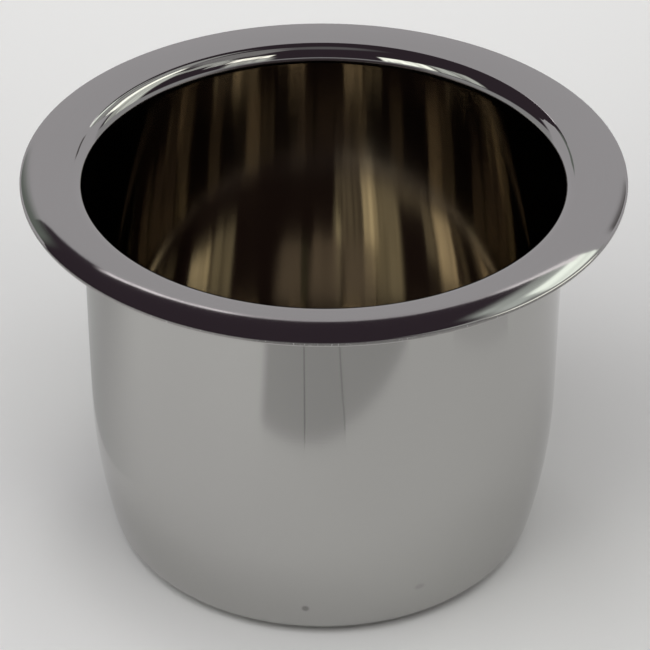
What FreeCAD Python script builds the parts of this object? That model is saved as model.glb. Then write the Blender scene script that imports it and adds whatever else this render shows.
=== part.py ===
import FreeCAD, Part
import math
import os

# A deep drawn drop-in cup holder: one round blank of polished stainless steel,
# drawn into a straight cup whose lower wall leans in to a flat base. A generous
# bend turns the wall out into a wide flange, which is level at first and then
# crowned, so that it droops a little to its trimmed edge.
#
# Millimetres. +Z is up, and the origin is the centre of the base's underside.

NODE = "cup"

# Driving dimensions
sheet = 0.75              # thickness of the drawn sheet
body_diameter = 84.0      # over the straight part of the wall
cup_height = 73.0         # underside of the base to the top of the flange
flange_width = 10.5       # how far the flange reaches past the outside of the wall
draw_radius = 2.25        # under side of the bend from the wall to the flange
land_width = 1.45         # level ring between that bend and the crown
crown_radius = 45.0       # upper side of the crowned part of the flange
edge_chamfer = 0.2        # breaks both corners of the trimmed edge
barrel_radius = 116.0     # outside of the arc on which the lower wall leans in
lean_angle = 12.7         # degrees from upright where that arc meets the base bend
base_radius = 3.45        # inside of the bend from the leaning wall to the base

# Sizes that follow from them
body_radius = body_diameter / 2
rim_radius = body_radius + flange_width
lean = math.radians(lean_angle)
chamfer = min(edge_chamfer, 0.4 * sheet)

# Centres of the bends in the half section, as (radius, height). Both faces of
# the sheet turn about the same centres, so it has one thickness all along.
base_bend_outside = base_radius + sheet
barrel_centre = (
    body_radius - barrel_radius,
    base_bend_outside + (barrel_radius - base_bend_outside) * math.sin(lean),
)
base_bend_centre = (
    barrel_centre[0] + (barrel_radius - base_bend_outside) * math.cos(lean),
    base_bend_outside,
)
draw_centre = (body_radius + draw_radius, cup_height - sheet - draw_radius)
crown_centre = (draw_centre[0] + land_width, cup_height - crown_radius)

# Directions from those centres, as angles up from level. The sheet is trimmed
# square to its faces, so the cut points straight at the crown's centre.
UP = math.pi / 2
INWARD = math.pi
LEVEL = 0.0
trim_direction = math.acos((rim_radius - crown_centre[0]) / (crown_radius - chamfer))
crown_end = trim_direction + chamfer / crown_radius


def on_arc(centre, radius, direction):
    """The point of the half section in one direction from a bend's centre."""
    across = centre[0] + radius * math.cos(direction)
    height = centre[1] + radius * math.sin(direction)
    return FreeCAD.Vector(across, 0, height)


def line(start, end):
    return Part.LineSegment(start, end).toShape()


def bend(centre, radius, first, last):
    """An arc about a centre, from one direction to another."""
    start, middle, end = (on_arc(centre, radius, turn) for turn in (first, (first + last) / 2, last))
    return Part.Arc(start, middle, end).toShape()


def face_of_sheet(outward):
    """One face of the sheet, as edges from the axis to the trimmed edge.

    outward is the face's distance from the inner and upper face: 0 for that
    face, and the sheet's thickness for the outer and under face.
    """
    base_bend = bend(base_bend_centre, base_radius + outward, -UP, -lean)
    barrel = bend(barrel_centre, barrel_radius - sheet + outward, -lean, LEVEL)
    draw_bend = bend(draw_centre, draw_radius + sheet - outward, INWARD, UP)
    crown = bend(crown_centre, crown_radius - outward, UP, crown_end)

    base_start = FreeCAD.Vector(0, 0, sheet - outward)
    base = line(base_start, base_bend.Vertexes[0].Point)
    wall = line(barrel.Vertexes[-1].Point, draw_bend.Vertexes[0].Point)
    land = line(draw_bend.Vertexes[-1].Point, crown.Vertexes[0].Point)
    return [base, base_bend, barrel, wall, draw_bend, land, crown]


def trimmed_edge(upper_end, under_end):
    """The cut edge of the flange, with a chamfer at each corner."""
    upper_corner = on_arc(crown_centre, crown_radius - chamfer, trim_direction)
    under_corner = on_arc(crown_centre, crown_radius - sheet + chamfer, trim_direction)
    return Part.makePolygon([upper_end, upper_corner, under_corner, under_end]).Edges


def drawn_cup():
    """The half section turned once about the axis."""
    upper = face_of_sheet(0)
    under = face_of_sheet(sheet)
    edge = trimmed_edge(upper[-1].Vertexes[-1].Point, under[-1].Vertexes[-1].Point)
    middle = line(under[0].Vertexes[0].Point, upper[0].Vertexes[0].Point)
    section = Part.Face(Part.Wire(upper + edge + under[::-1] + [middle]))
    return section.revolve(FreeCAD.Vector(0, 0, 0), FreeCAD.Vector(0, 0, 1), 360)


os.makedirs("parts", exist_ok=True)
drawn_cup().exportStep(f"parts/{NODE}.step")
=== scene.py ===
import logging
import math
from dataclasses import dataclass
from enum import Enum
from typing import Any, Dict, List, Optional, Tuple, Union

import bpy
from mathutils import Matrix, Vector

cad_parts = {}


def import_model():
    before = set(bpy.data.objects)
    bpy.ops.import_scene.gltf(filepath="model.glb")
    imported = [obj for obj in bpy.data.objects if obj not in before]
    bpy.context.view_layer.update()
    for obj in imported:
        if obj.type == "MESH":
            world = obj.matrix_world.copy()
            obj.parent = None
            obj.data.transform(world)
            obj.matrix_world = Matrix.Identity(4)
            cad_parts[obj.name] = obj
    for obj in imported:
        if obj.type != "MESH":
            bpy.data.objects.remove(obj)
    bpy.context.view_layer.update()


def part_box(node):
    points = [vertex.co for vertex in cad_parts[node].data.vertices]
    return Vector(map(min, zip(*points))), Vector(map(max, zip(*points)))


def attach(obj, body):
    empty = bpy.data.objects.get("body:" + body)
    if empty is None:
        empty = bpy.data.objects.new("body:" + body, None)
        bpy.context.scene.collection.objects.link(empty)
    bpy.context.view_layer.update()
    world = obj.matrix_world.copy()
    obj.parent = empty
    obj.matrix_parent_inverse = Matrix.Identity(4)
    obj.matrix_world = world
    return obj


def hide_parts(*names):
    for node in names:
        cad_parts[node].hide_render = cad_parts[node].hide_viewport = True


# A deep drawn drop-in cup holder of polished stainless steel: a straight cup whose
# lower wall leans in to a flat base, with a bend that turns the wall out into a wide
# flange, level at first and then crowned to its trimmed edge. Metres, +Z up.

MM = 0.001
NOISE_MEAN = 0.5
Point = Tuple[float, float]
Colour = Tuple[float, float, float]

logging.basicConfig(level=logging.INFO, format="%(message)s")
LOG = logging.getLogger("drawn_cup")


# ---------------------------------------------------------------------------
# Shader nodes


class Shade:
    """A node's output socket that does arithmetic with numbers and other sockets."""

    def __init__(self, bench: "NodeBench", socket: bpy.types.NodeSocket) -> None:
        """Keeps the socket and the bench that its maths is added to."""
        self.bench = bench
        self.socket = socket

    def __add__(self, other: "Value") -> "Shade":
        """Adds another value."""
        return self.bench.math("ADD", self, other)

    def __radd__(self, other: "Value") -> "Shade":
        """Is added to a number."""
        return self.bench.math("ADD", other, self)

    def __sub__(self, other: "Value") -> "Shade":
        """Takes another value away."""
        return self.bench.math("SUBTRACT", self, other)

    def __rsub__(self, other: "Value") -> "Shade":
        """Is taken away from a number."""
        return self.bench.math("SUBTRACT", other, self)

    def __mul__(self, other: "Value") -> "Shade":
        """Multiplies by another value."""
        return self.bench.math("MULTIPLY", self, other)

    def __rmul__(self, other: "Value") -> "Shade":
        """Multiplies a number."""
        return self.bench.math("MULTIPLY", other, self)

    def __truediv__(self, other: "Value") -> "Shade":
        """Divides by another value."""
        return self.bench.math("DIVIDE", self, other)


Value = Union[Shade, float]
Triple = Tuple[Value, Value, Value]


class NodeBench:
    """Lays out the nodes of one material or world."""

    def __init__(self, tree: bpy.types.NodeTree) -> None:
        """Clears the tree and starts on an empty one."""
        self.tree = tree
        tree.nodes.clear()

    def node(
        self,
        kind: str,
        settings: Optional[Dict[str, Any]] = None,
        sockets: Optional[Dict[Union[str, int], Any]] = None,
    ) -> bpy.types.Node:
        """Adds one node, gives it its settings and then fills its sockets.

        Args:
            kind: The node's type.
            settings: Its properties, by name.
            sockets: Values, or Shades to link, by the socket's name or number.

        Returns:
            The new node.
        """
        made = self.tree.nodes.new(kind)
        for name, value in (settings or {}).items():
            setattr(made, name, value)
        for name, value in (sockets or {}).items():
            target = made.inputs[name]
            if isinstance(value, Shade):
                self.tree.links.new(value.socket, target)
            else:
                target.default_value = value
        return made

    def out(self, node: bpy.types.Node, socket: Union[str, int] = 0) -> Shade:
        """One output of a node."""
        return Shade(self, node.outputs[socket])

    def math(self, operation: str, first: Value, second: Value = 0.0) -> Shade:
        """One Math node's result.

        Args:
            operation: Name of the Math node's operation.
            first: First operand.
            second: Second operand, where the operation has one.

        Returns:
            The result.
        """
        made = self.node("ShaderNodeMath", {"operation": operation}, {0: first, 1: second})
        return self.out(made)

    def step(self, value: Value, start: float, end: float) -> Shade:
        """A smooth step that is 0 at start and 1 at end.

        Args:
            value: What is stepped.
            start: Where the step leaves 0.
            end: Where it reaches 1; below start for a falling step.

        Returns:
            The step, between 0 and 1.
        """
        rising = start < end
        low, high = (start, end) if rising else (end, start)
        node = self.node(
            "ShaderNodeMapRange",
            {"interpolation_type": "SMOOTHSTEP"},
            {
                "Value": value,
                "From Min": low,
                "From Max": high,
                "To Min": 0.0 if rising else 1.0,
                "To Max": 1.0 if rising else 0.0,
            },
        )
        return self.out(node, "Result")

    def band(self, value: Value, low: float, high: float, soft: float) -> Shade:
        """1 between low and high, falling to 0 over soft outside them."""
        return self.step(value, low - soft, low) * self.step(value, high + soft, high)

    def mix(self, factor: Value, first: Any, second: Any) -> Shade:
        """A colour between two colours.

        Args:
            factor: 0 for the first and 1 for the second.
            first: A Shade, or red, green and blue.
            second: A Shade, or red, green and blue.

        Returns:
            The mixed colour.
        """
        ends = [c if isinstance(c, Shade) else (*c, 1.0) for c in (first, second)]
        node = self.node(
            "ShaderNodeMix",
            {"data_type": "RGBA", "blend_type": "MIX"},
            {0: factor, 6: ends[0], 7: ends[1]},
        )
        return self.out(node, 2)

    def vector(self, x: Value, y: Value, z: Value) -> Shade:
        """A vector from three values."""
        return self.out(self.node("ShaderNodeCombineXYZ", {}, {0: x, 1: y, 2: z}))

    def noise(self, along: Triple, streaks: "Streaks") -> Shade:
        """Noise between about 0 and 1, stretched along three values.

        Args:
            along: The three values.
            streaks: How the noise runs.

        Returns:
            The noise value.
        """
        place = self.vector(*(value * times for value, times in zip(along, streaks.stretch)))
        sockets = {
            "Vector": place,
            "Scale": 1.0,
            "Detail": streaks.octaves,
            "Roughness": streaks.roughness,
        }
        return self.out(self.node("ShaderNodeTexNoise", {}, sockets), 0)


@dataclass(frozen=True)
class Streaks:
    """How a noise runs: its fineness along three values, its octaves and how strong they are."""

    stretch: Tuple[float, float, float]
    octaves: float = 2.0
    roughness: float = 0.5


class Ground(Enum):
    """Which coordinates a pattern is laid out on."""

    PIECE = "Object"
    SKY = "Generated"


def parts_of(bench: NodeBench, ground: Ground) -> Triple:
    """The x, y and z of a place on a piece, or of a direction in the sky.

    Args:
        bench: Where the nodes are laid.
        ground: Which coordinates are read.

    Returns:
        The three values.
    """
    place = bench.out(bench.node("ShaderNodeTexCoord"), ground.value)
    split = bench.node("ShaderNodeSeparateXYZ", {}, {0: place})
    return bench.out(split, 0), bench.out(split, 1), bench.out(split, 2)


# ---------------------------------------------------------------------------
# Finishes


@dataclass(frozen=True)
class Scuff:
    """One small mark on the outside: squat under 1 stretches it upwards, over 1 flattens it."""

    middle: Tuple[float, float, float]
    radius: float
    strength: float
    squat: float
    core: float = 0.35

    def shown(self, bench: NodeBench, place: Triple) -> Shade:
        """How strongly the mark shows.

        Args:
            bench: Where the nodes are laid.
            place: The x, y and z of the place on the piece.

        Returns:
            Its strength, 0 away from it.
        """
        away = [part - middle for part, middle in zip(place, self.middle)]
        stretched = away[0] * away[0] + away[1] * away[1] + away[2] * away[2] * self.squat
        distance = bench.math("SQRT", stretched)
        return bench.step(distance, self.radius, self.radius * self.core) * self.strength


@dataclass(frozen=True)
class PolishedSteel:
    """Stainless steel, drawn and then buffed round and round to a soft mirror."""

    rim_radius: float
    bore_radius: float

    # Colours: the flange and bends between two greys, the outside, the bore's lower and
    #     # upper part, the trimmed edge's two greys, and the scuffs. The outside and the bore are
    #     # painted darker than the flange's steel as painted shade, and the bore warmer too. The
    #     # painted shade of the upper part of the bore starts and is full at two heights, and the
    #     # draw marks make it patchy.
    base_colour: Colour = (0.560, 0.555, 0.545)
    dull_colour: Colour = (0.520, 0.512, 0.498)
    # Painted shade: the outside and the flange's underside are painted a darker grey than the same
    # steel.
    outside_shade_colour: Colour = (0.460, 0.454, 0.441)
    # Painted shade: the bore is painted darker and warmer than the steel, its upper part darker
    # still.
    bore_shade_colour: Colour = (0.520, 0.470, 0.390)
    upper_bore_shade_colour: Colour = (0.365, 0.328, 0.305)
    sheared_colour: Colour = (0.300, 0.290, 0.285)
    fresh_colour: Colour = (0.720, 0.715, 0.710)
    scuff_colour: Colour = (0.230, 0.225, 0.220)
    upper_bore_shade_from: Tuple[float, float] = (38.0 * MM, 54.0 * MM)
    upper_bore_shade_least: float = 0.75
    upper_bore_shade_marks: float = 0.5

    # Roughness of the flange, what the bore, the outside, the edge and a scuff add to it, and
    # how much the buffing lines and the clouds vary it.
    gloss_roughness: float = 0.035
    bore_roughness: float = 0.040
    outside_roughness: float = 0.03
    edge_roughness: float = 0.32
    scuff_roughness: float = 0.15
    line_roughness: float = 0.02
    cloud_roughness: float = 0.01

    # Buffing lines run round the cup: fine across the sheet, long round it. Draw marks run up
    # the wall: fine round it, long up it. The edge's grain is where the shears tore the metal.
    buffing: float = 1.0
    buffing_turn: float = 0.25
    lines: Streaks = Streaks((2600.0, 2600.0, 2.2), 3.0, 0.55)
    marks: Streaks = Streaks((420.0, 420.0, 9.0))
    clouds: Streaks = Streaks((55.0, 55.0, 55.0))
    grain: Streaks = Streaks((260.0, 1400.0, 900.0), 2.0, 0.6)
    cloud_dulls: float = 0.35
    line_dulls: float = 0.25
    fresh_from: Tuple[float, float] = (0.60, 0.70)
    line_depth: float = 0.35
    mark_depth: float = 0.25
    bump_strength: float = 0.08
    bump_distance: float = 0.04 * MM

    # Where the bore's colour starts and is full, past its radius, the trimmed edge's width, and
    # how softly the inner face's colour turns into the outer one's.
    bore_blend: Tuple[float, float] = (0.30 * MM, 0.05 * MM)
    edge_band: float = 0.03 * MM
    facing_soft: float = 0.2
    scuffs: Tuple[Scuff, ...] = (
        Scuff((-2.9 * MM, -39.8 * MM, 7.0 * MM), 0.9 * MM, 0.8, 0.8),
        Scuff((17.1 * MM, -36.6 * MM, 9.4 * MM), 1.3 * MM, 0.3, 2.0),
    )

    def make(self) -> bpy.types.Material:
        """Builds the finish.

        Returns:
            The material, named after the record's slot.
        """
        material = bpy.data.materials.new("polished_steel_finish")
        material.use_nodes = True
        bench = NodeBench(material.node_tree)
        x, y, z = place = parts_of(bench, Ground.PIECE)
        radius = bench.math("SQRT", x * x + y * y)
        turn = bench.math("ARCTAN2", y, x)
        outside = self.faces_out(bench, x, y, radius)
        start, full = (self.bore_radius + blend for blend in self.bore_blend)
        bore = bench.step(radius, start, full) * (1.0 - outside)
        edge_full = self.rim_radius - self.edge_band
        edge = bench.step(radius, edge_full - self.edge_band, edge_full)

        lines = bench.noise((radius, z, turn), self.lines)
        marks = bench.noise(place, self.marks)
        cloud = bench.noise(place, self.clouds)
        grain = bench.noise((turn, z, radius), self.grain)

        dulled = cloud * self.cloud_dulls + lines * self.line_dulls
        steel = bench.mix(dulled, self.base_colour, self.dull_colour)
        # Painted shade inside the cup: the upper part of the bore is painted darker, patchy along
        # the draw marks, over the bore's darker and warmer grey.
        drawn = bench.step(z, *self.upper_bore_shade_from) * (self.upper_bore_shade_least + marks * self.upper_bore_shade_marks)
        inside = bench.mix(drawn, self.bore_shade_colour, self.upper_bore_shade_colour)
        # Painted shade: the outer and under faces take the darker outside grey.
        turned = bench.mix(outside, bench.mix(bore, steel, inside), self.outside_shade_colour)
        cut = bench.mix(bench.step(grain, *self.fresh_from), self.sheared_colour, self.fresh_colour)
        scuffs: Value = 0.0
        for scuff in self.scuffs:
            scuffs = bench.math("MAXIMUM", scuffs, scuff.shown(bench, place))
        colour = bench.mix(scuffs, bench.mix(edge, turned, cut), self.scuff_colour)

        gloss = self.gloss_roughness + bore * self.bore_roughness + outside * self.outside_roughness
        varied = (lines - NOISE_MEAN) * self.line_roughness
        varied = varied + (cloud - NOISE_MEAN) * self.cloud_roughness
        worn = edge * (self.edge_roughness * grain) + scuffs * self.scuff_roughness

        relief = lines * self.line_depth + marks * self.mark_depth
        bump = bench.node(
            "ShaderNodeBump",
            {},
            {"Strength": self.bump_strength, "Distance": self.bump_distance, "Height": relief},
        )
        shader = bench.node(
            "ShaderNodeBsdfPrincipled",
            {},
            {
                "Base Color": colour,
                "Metallic": 1.0,
                "Roughness": gloss + varied + worn,
                "Anisotropic": self.buffing,
                "Anisotropic Rotation": self.buffing_turn,
                "Normal": bench.out(bump),
            },
        )
        bench.node("ShaderNodeOutputMaterial", {}, {"Surface": bench.out(shader)})
        return material

    def faces_out(self, bench: NodeBench, x: Shade, y: Shade, radius: Shade) -> Shade:
        """Tells the outer and under face from the inner and upper one by which way it points.

        Args:
            bench: Where the nodes are laid.
            x: The place's x.
            y: The place's y.
            radius: Its distance from the axis.

        Returns:
            1 on the outer and under face, and 0 on the other.
        """
        facing = bench.out(bench.node("ShaderNodeTexCoord"), "Normal")
        tilt = bench.node("ShaderNodeSeparateXYZ", {}, {0: facing})
        never_zero = radius + 0.001 * MM
        outward = (bench.out(tilt, 0) * x + bench.out(tilt, 1) * y) / never_zero
        return bench.step(bench.out(tilt, 2) - outward, self.facing_soft, -self.facing_soft)


@dataclass(frozen=True)
class Fade:
    """How a card melts into the floor, over some way from its near edge and its left side.

    spread is how fast the card's half width grows away from its near edge.
    """

    floor_colour: Colour
    near: float
    side: float
    half_width: float
    spread: float

    def shown(self, bench: NodeBench) -> Value:
        """How much of the card's own colour shows.

        Args:
            bench: Where the nodes are laid.

        Returns:
            0 on the edges that fade, and 1 away from them.
        """
        x, y, _ = parts_of(bench, Ground.PIECE)
        shown: Value = 1.0
        if self.near > 0.0:
            shown = shown * bench.step(y, 0.0, -self.near)
        if self.side > 0.0:
            shown = shown * bench.step(x - y * self.spread + self.half_width, 0.0, self.side)
        return shown


@dataclass(frozen=True)
class PaleBoard:
    """Matt board, as the floor is made of, or a card on it."""

    colour: Colour = (0.82, 0.82, 0.82)
    name: str = "pale_board"
    fade: Optional[Fade] = None
    roughness: float = 0.95
    shine: float = 0.1

    def make(self) -> bpy.types.Material:
        """Builds the finish.

        Returns:
            The board's material.
        """
        material = bpy.data.materials.new(self.name)
        material.use_nodes = True
        bench = NodeBench(material.node_tree)
        base: Any = (*self.colour, 1.0)
        if self.fade is not None:
            base = bench.mix(self.fade.shown(bench), self.fade.floor_colour, self.colour)
        shader = bench.node(
            "ShaderNodeBsdfPrincipled",
            {},
            {"Base Color": base, "Roughness": self.roughness, "Specular IOR Level": self.shine},
        )
        bench.node("ShaderNodeOutputMaterial", {}, {"Surface": bench.out(shader)})
        return material


# ---------------------------------------------------------------------------
# The cup


@dataclass
class DrawnCup:
    """The whole pressing: base, leaning wall, straight wall, mouth bend and flange."""

    low: Vector
    high: Vector
    sheet: float = 0.75 * MM
    flange_width: float = 10.5 * MM
    draw_radius: float = 2.25 * MM
    land_width: float = 1.45 * MM
    crown_radius: float = 45.0 * MM
    edge_chamfer: float = 0.2 * MM
    barrel_radius: float = 116.0 * MM
    lean: float = math.radians(12.7)
    base_radius: float = 3.45 * MM
    # How finely it is divided: round it, and along each arc of the half section.
    facets: int = 256
    steps_base_bend: int = 20
    steps_barrel: int = 20
    steps_draw_bend: int = 26
    steps_crown: int = 14
    # Where the rings of the flat base, the straight wall and the land lie, as shares of each.
    base_rings: Tuple[float, ...] = (0.04, 0.2, 0.4, 0.6, 0.8, 0.93, 0.985, 1.0)
    wall_rings: Tuple[float, ...] = (0.02, 0.25, 0.5, 0.75, 0.98, 1.0)
    land_rings: Tuple[float, ...] = (0.12, 0.88, 1.0)
    # Points this near each other are one, and edges over the crease's angle look sharp.
    merge_within: float = 1e-7
    edge_segments: int = 2
    crease: float = math.radians(35.0)
    piece: Optional[bpy.types.Object] = None

    @property
    def rim_radius(self) -> float:
        """Outside of the trimmed edge."""
        return self.high.x

    @property
    def wall_radius(self) -> float:
        """Outside of the straight wall."""
        return self.rim_radius - self.flange_width

    @property
    def bore_radius(self) -> float:
        """Inside of the straight wall."""
        return self.wall_radius - self.sheet

    @property
    def barrel_centre(self) -> Point:
        """Centre of the arc on which the lower wall leans in."""
        outside = self.base_radius + self.sheet
        rise = (self.barrel_radius - outside) * math.sin(self.lean)
        return self.wall_radius - self.barrel_radius, self.low.z + outside + rise

    @property
    def base_bend_centre(self) -> Point:
        """Centre of the bend from the base to the leaning wall."""
        outside = self.base_radius + self.sheet
        reach = (self.barrel_radius - outside) * math.cos(self.lean)
        return self.barrel_centre[0] + reach, self.low.z + outside

    @property
    def draw_centre(self) -> Point:
        """Centre of the bend from the wall to the flange."""
        across = self.wall_radius + self.draw_radius
        return across, self.high.z - self.sheet - self.draw_radius

    @property
    def crown_centre(self) -> Point:
        """Centre of the crowned part of the flange."""
        return self.draw_centre[0] + self.land_width, self.high.z - self.crown_radius

    @staticmethod
    def arc(centre: Point, radius: float, first: float, last: float, steps: int) -> List[Point]:
        """Points along an arc of the half section, without its first one.

        Args:
            centre: The arc's centre.
            radius: Its radius.
            first: Direction of its start, up from level.
            last: Direction of its end.
            steps: How many points.

        Returns:
            The points as (radius, height).
        """
        turns = [first + (last - first) * (i + 1) / steps for i in range(steps)]
        return [(centre[0] + radius * math.cos(t), centre[1] + radius * math.sin(t)) for t in turns]

    def inner_face(self) -> List[Point]:
        """The sheet's inner and upper face, from the base's middle to the trimmed edge.

        Returns:
            The points as (radius, height), the first one on the first ring.
        """
        up, level, inward = math.pi / 2, 0.0, math.pi
        floor, base_edge = self.low.z + self.sheet, self.base_bend_centre[0]
        points = [(base_edge * share, floor) for share in self.base_rings]

        bend, steps = self.base_bend_centre, self.steps_base_bend
        points += self.arc(bend, self.base_radius, -up, -self.lean, steps)
        inner_barrel = self.barrel_radius - self.sheet
        points += self.arc(self.barrel_centre, inner_barrel, -self.lean, level, self.steps_barrel)

        wall_low, wall_high = self.barrel_centre[1], self.draw_centre[1]
        wall = wall_high - wall_low
        points += [(self.bore_radius, wall_low + wall * share) for share in self.wall_rings]

        upper = self.draw_radius + self.sheet
        points += self.arc(self.draw_centre, upper, inward, up, self.steps_draw_bend)
        land = self.draw_centre[0]
        points += [(land + self.land_width * share, self.high.z) for share in self.land_rings]

        reach = (self.rim_radius - self.crown_centre[0]) / (self.crown_radius - self.edge_chamfer)
        crown, steps = self.crown_centre, self.steps_crown
        points += self.arc(crown, self.crown_radius, up, math.acos(reach), steps)
        return points

    def draw(self) -> None:
        """Raises the inner face from a small disc, ring by ring, as the blank is drawn."""
        points = self.inner_face()
        radius, height = points[0]
        bpy.ops.object.select_all(action="DESELECT")
        bpy.ops.mesh.primitive_circle_add(
            vertices=self.facets, radius=radius, fill_type="TRIFAN", location=(0.0, 0.0, height)
        )
        self.piece = bpy.context.object
        self.piece.name = self.piece.data.name = "drawn_cup"
        bpy.ops.object.transform_apply(location=True, rotation=True, scale=True)
        bpy.ops.object.mode_set(mode="EDIT")
        bpy.ops.mesh.select_mode(type="EDGE")
        bpy.ops.mesh.select_all(action="DESELECT")
        bpy.ops.mesh.select_non_manifold(
            extend=False, use_wire=False, use_boundary=True, use_multi_face=False,
            use_non_contiguous=False, use_verts=False,
        )
        for next_radius, next_height in points[1:]:
            rise = (0.0, 0.0, next_height - height)
            grow = next_radius / radius
            middle = (0.0, 0.0, next_height)
            bpy.ops.mesh.extrude_edges_move(TRANSFORM_OT_translate={"value": rise})
            bpy.ops.transform.resize(value=(grow, grow, 1.0), center_override=middle)
            radius, height = next_radius, next_height
        bpy.ops.mesh.select_all(action="SELECT")
        bpy.ops.mesh.remove_doubles(threshold=self.merge_within)
        bpy.ops.mesh.normals_make_consistent(inside=False)
        bpy.ops.object.mode_set(mode="OBJECT")

    def face_inwards(self) -> None:
        """Turns the open face so that it points into the cup and up from the flange."""
        middle = min(self.piece.data.polygons, key=lambda face: face.center.xy.length)
        if middle.normal.z < 0.0:
            bpy.ops.object.mode_set(mode="EDIT")
            bpy.ops.mesh.select_all(action="SELECT")
            bpy.ops.mesh.flip_normals()
            bpy.ops.object.mode_set(mode="OBJECT")

    def thicken(self) -> None:
        """Gives the face the sheet's thickness, away from the inside."""
        solid = self.piece.modifiers.new("sheet", "SOLIDIFY")
        solid.thickness = self.sheet
        solid.offset = -1.0
        solid.use_even_offset = True
        solid.use_quality_normals = True
        bpy.ops.object.modifier_apply(modifier=solid.name)

    def break_edge(self) -> None:
        """Breaks both corners of the trimmed edge."""
        bpy.ops.object.mode_set(mode="EDIT")
        bpy.ops.mesh.select_mode(type="EDGE")
        bpy.ops.mesh.select_all(action="DESELECT")
        bpy.ops.object.mode_set(mode="OBJECT")
        mesh = self.piece.data
        cut = set()
        outward_from, near_rim = 0.8, self.rim_radius - self.sheet
        for face in mesh.polygons:
            outward = face.center.xy.normalized()
            at_rim = face.center.xy.length > near_rim
            if at_rim and face.normal.xy.dot(outward) > outward_from:
                cut.update(face.vertices)
        level_within = 0.1 * self.sheet
        for edge in mesh.edges:
            first, second = (mesh.vertices[i].co for i in edge.vertices)
            level = abs(first.z - second.z) < level_within
            edge.select = set(edge.vertices) <= cut and level
        bpy.ops.object.mode_set(mode="EDIT")
        bpy.ops.mesh.bevel(offset=self.edge_chamfer, segments=self.edge_segments, affect="EDGES")
        bpy.ops.mesh.select_all(action="DESELECT")
        bpy.ops.object.mode_set(mode="OBJECT")

    def dress(self, steel: PolishedSteel) -> None:
        """Smooths the shading and puts the finish on.

        Args:
            steel: The finish.
        """
        self.piece.data.materials.clear()
        self.piece.data.materials.append(steel.make())
        bpy.ops.object.select_all(action="DESELECT")
        self.piece.select_set(True)
        bpy.context.view_layer.objects.active = self.piece
        bpy.ops.object.shade_smooth_by_angle(angle=self.crease)

    def build(self) -> bpy.types.Object:
        """Makes the whole cup.

        Returns:
            The finished piece.
        """
        self.draw()
        self.face_inwards()
        self.thicken()
        self.break_edge()
        self.dress(PolishedSteel(self.rim_radius, self.bore_radius))
        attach(self.piece, "root")
        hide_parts("cup")
        return self.piece


# ---------------------------------------------------------------------------
# The studio


@dataclass(frozen=True)
class Patch:
    """A soft-edged lit patch of the surroundings, in degrees."""

    azimuth: Tuple[float, float]
    elevation: Tuple[float, float]
    soft_azimuth: float
    soft_elevation: float
    colour: Colour


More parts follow.
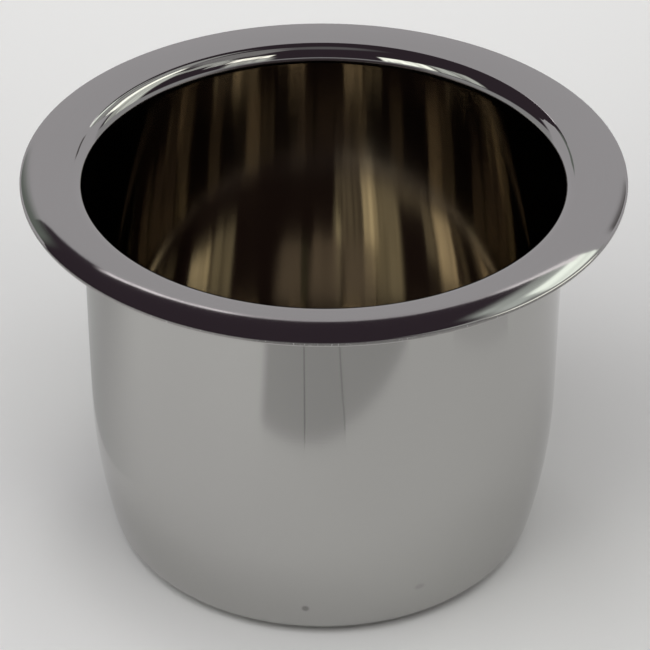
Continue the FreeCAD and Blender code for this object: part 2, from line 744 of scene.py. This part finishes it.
@dataclass
class Surroundings:
    """What the steel mirrors: a wall behind, a lower one all round, and a dark room with windows.

    Azimuth 0 is straight behind the cup and grows to the right; 180 is the viewer's side.
    """

    dark_colour: Colour = (0.040, 0.029, 0.037)
    ceiling_colour: Colour = (0.150, 0.144, 0.148)
    ceiling_from: Tuple[float, float] = (75.0, 85.0)

    wall_colour: Colour = (0.470, 0.455, 0.472)
    wall_top: float = 37.7
    wall_soft: float = 0.1
    wall_end: Tuple[float, float] = (49.0, 54.0)
    # Where the wall's top steps down, or up again: azimuths and how far, in degrees.
    wall_steps: Tuple[Tuple[float, float, float], ...] = (
        (-8.5, -15.5, 3.4),
        (-20.5, -24.0, -3.8),
        (-38.0, -52.0, 5.0),
    )

    low_wall_colour: Colour = (0.360, 0.354, 0.360)
    low_wall_top: Tuple[float, float] = (23.0, 19.0)
    # The foot of the low wall is dark on the viewer's side: azimuths, elevations, how much.
    foot_sides: Tuple[float, float] = (115.0, 145.0)
    foot_top: Tuple[float, float] = (17.0, 14.0)
    foot_shade: float = 0.92

    # Curtains and frames break every window into upright stripes.
    curtains: Streaks = Streaks((0.24, 0.015, 0.0), 3.0, 0.6)
    curtain_from: Tuple[float, float] = (0.36, 0.60)
    curtain_least: float = 0.45
    patches: Tuple[Patch, ...] = (
        Patch((14.5, 42.0), (30.0, 60.0), 3.5, 5.0, (0.480, 0.482, 0.470)),
        Patch((10.6, 15.0), (38.6, 45.0), 1.8, 2.5, (0.62, 0.66, 0.62)),
        Patch((13.6, 17.4), (36.8, 42.6), 1.0, 1.0, (1.55, 1.65, 1.50)),
        Patch((15.6, 20.0), (44.4, 50.0), 1.2, 1.2, (0.16, 0.15, 0.15)),
        Patch((57.0, 82.0), (22.0, 56.0), 2.5, 4.0, (0.92, 0.95, 0.87)),
        Patch((43.0, 57.0), (38.0, 60.0), 1.5, 3.0, (2.40, 2.44, 2.18)),
        Patch((86.0, 114.0), (53.0, 62.0), 4.0, 2.5, (0.60, 0.61, 0.57)),
        Patch((114.0, 124.0), (43.0, 56.0), 2.0, 3.0, (0.80, 0.81, 0.76)),
        Patch((128.0, 150.0), (41.5, 52.0), 2.5, 3.0, (2.00, 1.96, 1.76)),
        Patch((134.0, 150.0), (20.0, 34.0), 7.0, 9.0, (0.70, 0.71, 0.66)),
        Patch((-121.0, -97.0), (26.0, 45.0), 2.5, 4.0, (0.75, 0.78, 0.72)),
        Patch((-150.0, -125.0), (24.5, 43.0), 2.5, 4.0, (1.80, 1.84, 1.66)),
        Patch((40.0, 125.0), (66.0, 78.0), 15.0, 6.0, (0.34, 0.33, 0.33)),
    )
    # The wall's lit top edge, and the shade in its two far corners.
    edge_patches: Tuple[Patch, ...] = (
        Patch((-9.0, -2.0), (37.75, 38.15), 2.0, 0.2, (1.60, 1.50, 1.54)),
        Patch((-2.0, 8.0), (37.8, 38.15), 2.0, 0.2, (0.60, 0.56, 0.58)),
        Patch((8.0, 13.0), (37.6, 38.2), 2.0, 0.2, (1.10, 1.04, 1.06)),
        Patch((18.0, 21.0), (30.0, 34.6), 2.5, 1.4, (0.10, 0.09, 0.09)),
        Patch((-21.0, -17.0), (27.0, 36.0), 3.0, 2.0, (0.17, 0.19, 0.17)),
    )

    def build(self) -> None:
        """Makes the world."""
        world = bpy.data.worlds.new("surroundings")
        bpy.context.scene.world = world
        world.use_nodes = True
        bench = NodeBench(world.node_tree)
        x, y, z = parts_of(bench, Ground.SKY)
        degrees = math.degrees(1.0)
        elevation = bench.math("ARCSINE", z) * degrees
        azimuth = bench.math("ARCTAN2", x, y) * degrees
        aside = bench.math("ABSOLUTE", azimuth)
        above = elevation
        for start, end, drop in self.wall_steps:
            above = above + bench.step(azimuth, start, end) * drop
        wall = bench.step(above, self.wall_top + self.wall_soft, self.wall_top - self.wall_soft)
        wall = wall * bench.step(aside, self.wall_end[1], self.wall_end[0])

        curtains = bench.noise((azimuth, elevation, 0.0), self.curtains)
        stripes = bench.step(curtains, *self.curtain_from) * (1.0 - self.curtain_least)
        stripes = self.curtain_least + stripes
        room = bench.mix(
            bench.step(elevation, *self.ceiling_from), self.dark_colour, self.ceiling_colour
        )
        lights = self.hang(bench, room, self.patches, azimuth, elevation, stripes)
        foot = bench.step(aside, *self.foot_sides) * bench.step(elevation, *self.foot_top)
        low_wall = bench.step(elevation, *self.low_wall_top) * (1.0 - foot * self.foot_shade)
        lights = bench.mix(low_wall, lights, self.low_wall_colour)
        colour = bench.mix(wall, lights, self.wall_colour)
        colour = self.hang(bench, colour, self.edge_patches, azimuth, elevation, 1.0)
        background = bench.node("ShaderNodeBackground", {}, {"Color": colour, "Strength": 1.0})
        bench.node("ShaderNodeOutputWorld", {}, {"Surface": bench.out(background)})

    @staticmethod
    def hang(
        bench: NodeBench,
        behind: Any,
        patches: Tuple[Patch, ...],
        azimuth: Shade,
        elevation: Shade,
        stripes: Value,
    ) -> Any:
        """Hangs lit patches in front of a colour.

        Args:
            bench: Where the nodes are laid.
            behind: The colour behind them.
            patches: The patches, from the farthest to the nearest.
            azimuth: Azimuth in degrees.
            elevation: Elevation in degrees.
            stripes: How much of each patch shows.

        Returns:
            The colour with the patches.
        """
        for patch in patches:
            inside = bench.band(azimuth, *patch.azimuth, patch.soft_azimuth) * bench.band(
                elevation, *patch.elevation, patch.soft_elevation
            )
            behind = bench.mix(inside * stripes, behind, patch.colour)
        return behind


@dataclass(frozen=True)
class Lamp:
    """A square soft lamp that points at the foot of the cup and isn't mirrored."""

    name: str
    place: Tuple[float, float, float]
    power: float
    size: float = 0.60

    def hang(self) -> None:
        """Hangs the lamp."""
        bpy.ops.object.light_add(type="AREA", location=self.place)
        lamp = bpy.context.object
        lamp.name = self.name
        lamp.data.shape = "SQUARE"
        lamp.data.size = self.size
        lamp.data.energy = self.power
        lamp.rotation_euler = (-Vector(self.place)).to_track_quat("-Z", "Y").to_euler()
        lamp.visible_glossy = False
        lamp.visible_camera = False


@dataclass(frozen=True)
class Spot:
    """A soft spot that lights the floor straight below it and isn't mirrored."""

    name: str
    place: Tuple[float, float, float]
    power: float
    spread: float
    softness: float = 0.10

    def hang(self) -> None:
        """Hangs the spot."""
        bpy.ops.object.light_add(type="SPOT", location=self.place)
        spot = bpy.context.object
        spot.name = self.name
        spot.data.energy = self.power
        spot.data.spot_size = math.radians(self.spread)
        spot.data.spot_blend = 1.0
        spot.data.shadow_soft_size = self.softness
        spot.visible_glossy = False
        spot.visible_camera = False


@dataclass(frozen=True)
class Card:
    """A flat card on the floor that only the steel sees.

    Its place is the middle of its near edge, its size is that edge's length and its depth,
    and flare is the length of its far edge, by that of its near edge. Its turn about its
    place is in degrees. Its tone is a grey, and the fades are how far it melts into the floor
    from its near edge and its left side. A seam is lifted above the card that it lies on.
    """

    name: str
    place: Point
    size: Point
    turn: float
    flare: float
    tone: float
    near_fade: float = 0.0
    side_fade: float = 0.0
    lift: float = 0.0

    def lay(self, level: float) -> None:
        """Lays the card.

        Args:
            level: The height that the cards lie at.
        """
        width, depth = self.size
        bpy.ops.object.select_all(action="DESELECT")
        bpy.ops.mesh.primitive_plane_add(size=1.0, location=(0.0, 0.0, 0.0))
        card = bpy.context.object
        card.name = self.name
        bpy.ops.object.mode_set(mode="EDIT")
        bpy.ops.transform.translate(value=(0.0, -0.5, 0.0))
        bpy.ops.transform.resize(value=(width, depth, 1.0), center_override=(0.0, 0.0, 0.0))
        bpy.ops.mesh.select_all(action="DESELECT")
        bpy.ops.object.mode_set(mode="OBJECT")
        for corner in card.data.vertices:
            corner.select = corner.co.y < -0.5 * depth
        bpy.ops.object.mode_set(mode="EDIT")
        bpy.ops.transform.resize(value=(self.flare, 1.0, 1.0), center_override=(0.0, -depth, 0.0))
        bpy.ops.object.mode_set(mode="OBJECT")
        card.rotation_euler.z = math.radians(self.turn)
        card.location = (*self.place, level + self.lift)
        fade = None
        if self.near_fade or self.side_fade:
            spread = 0.5 * width * (self.flare - 1.0) / depth
            fade = Fade(PaleBoard().colour, self.near_fade, self.side_fade, 0.5 * width, spread)
        board = PaleBoard((self.tone, self.tone, self.tone), self.name + "_board", fade)
        card.data.materials.append(board.make())
        for ray in ("camera", "diffuse", "shadow", "transmission"):
            setattr(card, "visible_" + ray, False)


@dataclass
class Studio:
    """The floor, the darker planks of a table beyond it, and the lamps."""

    floor_size: float = 8.0
    # The floor is a hair below the cup's underside, and the cards are a hair above it.
    floor_drop: float = 0.05 * MM
    card_rise: float = 0.2 * MM
    cards: Tuple[Card, ...] = (
        Card("plank_left", (-0.0295, -0.0980), (0.0345, 0.13), -6.7, 2.7, 0.53, side_fade=9.0 * MM),
        Card("plank_middle", (0.0020, -0.1018), (0.0262, 0.13), -6.7, 1.3, 0.53),
        Card("plank_right", (0.0460, -0.1075), (0.0600, 0.13), -3.7, 1.9, 0.55),
        Card("seam_left", (-0.0117, -0.1001), (0.0010, 0.045), -10.0, 1.0, 0.30, lift=0.1 * MM),
        Card("seam_right", (0.0155, -0.1035), (0.0010, 0.070), -1.0, 1.0, 0.30, lift=0.1 * MM),
        Card("table_left", (-0.1130, -0.0200), (0.1060, 0.13), 172.0, 1.0, 0.58, 60.0 * MM),
        Card("table_right", (0.1080, -0.0450), (0.0620, 0.08), 79.0, 1.3, 0.72),
    )
    lights: Tuple[Union[Lamp, Spot], ...] = (
        Lamp("left_lamp", (-0.40, -0.20, 0.60), 1.25),
        Lamp("right_lamp", (0.40, -0.25, 0.60), 0.70),
        Lamp("top_lamp", (-0.05, -0.22, 0.80), 2.1),
        Spot("back_spot", (0.0, 0.42, 0.80), 10.5, 62.0),
        Spot("left_spot", (-0.110, -0.074, 0.40), 3.2, 19.0),
    )

    def build(self, height: float) -> None:
        """Makes the studio.

        Args:
            height: The height of the cup's underside.
        """
        bpy.ops.object.select_all(action="DESELECT")
        place = (0.0, 0.0, height - self.floor_drop)
        bpy.ops.mesh.primitive_plane_add(size=self.floor_size, location=place)
        floor = bpy.context.object
        floor.name = "floor"
        floor.data.materials.append(PaleBoard().make())
        for card in self.cards:
            card.lay(height + self.card_rise)
        for light in self.lights:
            light.hang()


@dataclass
class Viewpoint:
    """The camera, straight in front of the cup and above it.

    Its lens and sensor are in millimetres, and its shift is a share of the picture's width.
    """

    distance: float = 0.50509
    elevation: float = math.radians(34.743)
    roll: float = 0.0042
    look_height: float = 0.039664
    lens: float = 155.63
    sensor: float = 36.0
    shift: float = 0.0028
    clip: Tuple[float, float] = (0.01, 50.0)

    def build(self) -> None:
        """Makes the camera and gives it to the scene."""
        data = bpy.data.cameras.new("camera")
        data.lens = self.lens
        data.sensor_width = self.sensor
        data.shift_x = self.shift
        data.clip_start, data.clip_end = self.clip
        camera = bpy.data.objects.new("camera", data)
        bpy.context.scene.collection.objects.link(camera)
        tilt = Matrix.Rotation(math.pi / 2 - self.elevation, 4, "X")
        turn = Matrix.Rotation(self.roll, 4, "Z")
        away = Vector((0.0, -math.cos(self.elevation), math.sin(self.elevation))) * self.distance
        place = Matrix.Translation(away + Vector((0.0, 0.0, self.look_height)))
        camera.matrix_world = place @ tilt @ turn
        bpy.context.scene.camera = camera


def main() -> None:
    """Builds the cup and its studio in order."""
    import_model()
    low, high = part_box("cup")

    cup = DrawnCup(low, high).build()
    LOG.info("%s: %d faces, rides on root", cup.name, len(cup.data.polygons))

    Studio().build(low.z)
    Surroundings().build()
    Viewpoint().build()
    bpy.context.scene.view_settings.view_transform = "Standard"
    LOG.info("studio: floor, lamps, surroundings and camera")


if __name__ == "__main__":
    main()
